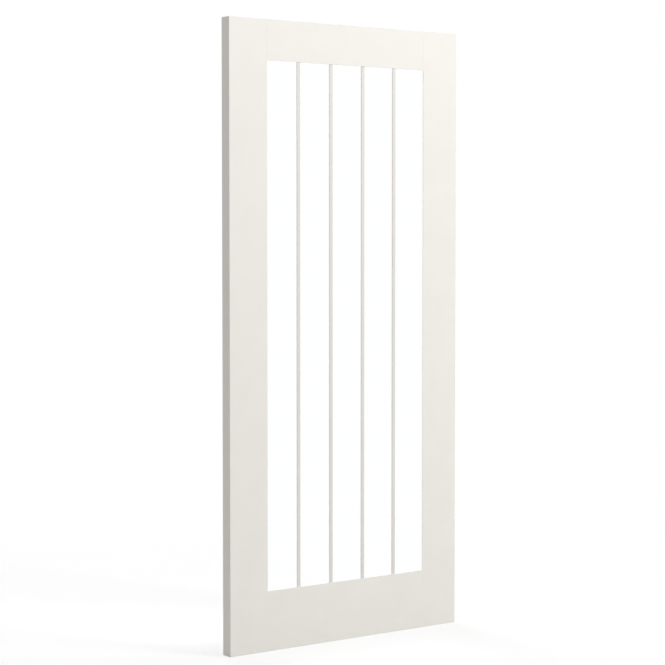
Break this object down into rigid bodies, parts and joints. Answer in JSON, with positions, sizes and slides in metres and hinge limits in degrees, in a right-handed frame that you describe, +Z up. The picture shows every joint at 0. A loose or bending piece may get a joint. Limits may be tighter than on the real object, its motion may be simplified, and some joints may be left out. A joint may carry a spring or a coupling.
{
  "type": "glazed interior door leaf",
  "caption": "White painted interior door leaf with a single tall clear glazed opening, divided by four flat upright bars.",
  "frame": {"origin": "middle of the hinge edge's flat face, at half the leaf's height and half its thickness", "axes": "+X across the leaf from the hinge edge to the lock edge, +Y from the front face, which the picture shows, to the back face with the glazing beads, +Z up"},
  "size_m": [0.926, 0.044, 2.04],
  "materials": {
    "painted_board": "satin white paint on smooth board",
    "painted_timber": "satin white paint on timber",
    "painted_bead": "satin white paint on timber beads",
    "painted_bar": "satin off-white paint on flat bars",
    "clear_glass": "clear, polished",
    "glazing_tape": "white foam",
    "setting_block": "grey plastic"
  },
  "bodies": {
    "root": {"back_bottom_rail_facing": "painted_board", "back_glass_bar_1": "painted_bar", "back_glass_bar_2": "painted_bar", "back_glass_bar_3": "painted_bar", "back_glass_bar_4": "painted_bar", "back_glazing_tape": "glazing_tape", "back_hinge_stile_facing": "painted_board", "back_lock_stile_facing": "painted_board", "back_top_rail_facing": "painted_board", "bottom_bead": "painted_bead", "bottom_rail_core": "painted_timber", "front_bottom_rail_facing": "painted_board", "front_glass_bar_1": "painted_bar", "front_glass_bar_2": "painted_bar", "front_glass_bar_3": "painted_bar", "front_glass_bar_4": "painted_bar", "front_glazing_tape": "glazing_tape", "front_hinge_stile_facing": "painted_board", "front_lock_stile_facing": "painted_board", "front_top_rail_facing": "painted_board", "glass_pane": "clear_glass", "glass_setting_blocks": "setting_block", "hinge_edge_lipping": "painted_timber", "hinge_side_bead": "painted_bead", "hinge_stile_core": "painted_timber", "lock_edge_lipping": "painted_timber", "lock_side_bead": "painted_bead", "lock_stile_core": "painted_timber", "top_bead": "painted_bead", "top_rail_core": "painted_timber"}
  },
  "joints": []
}
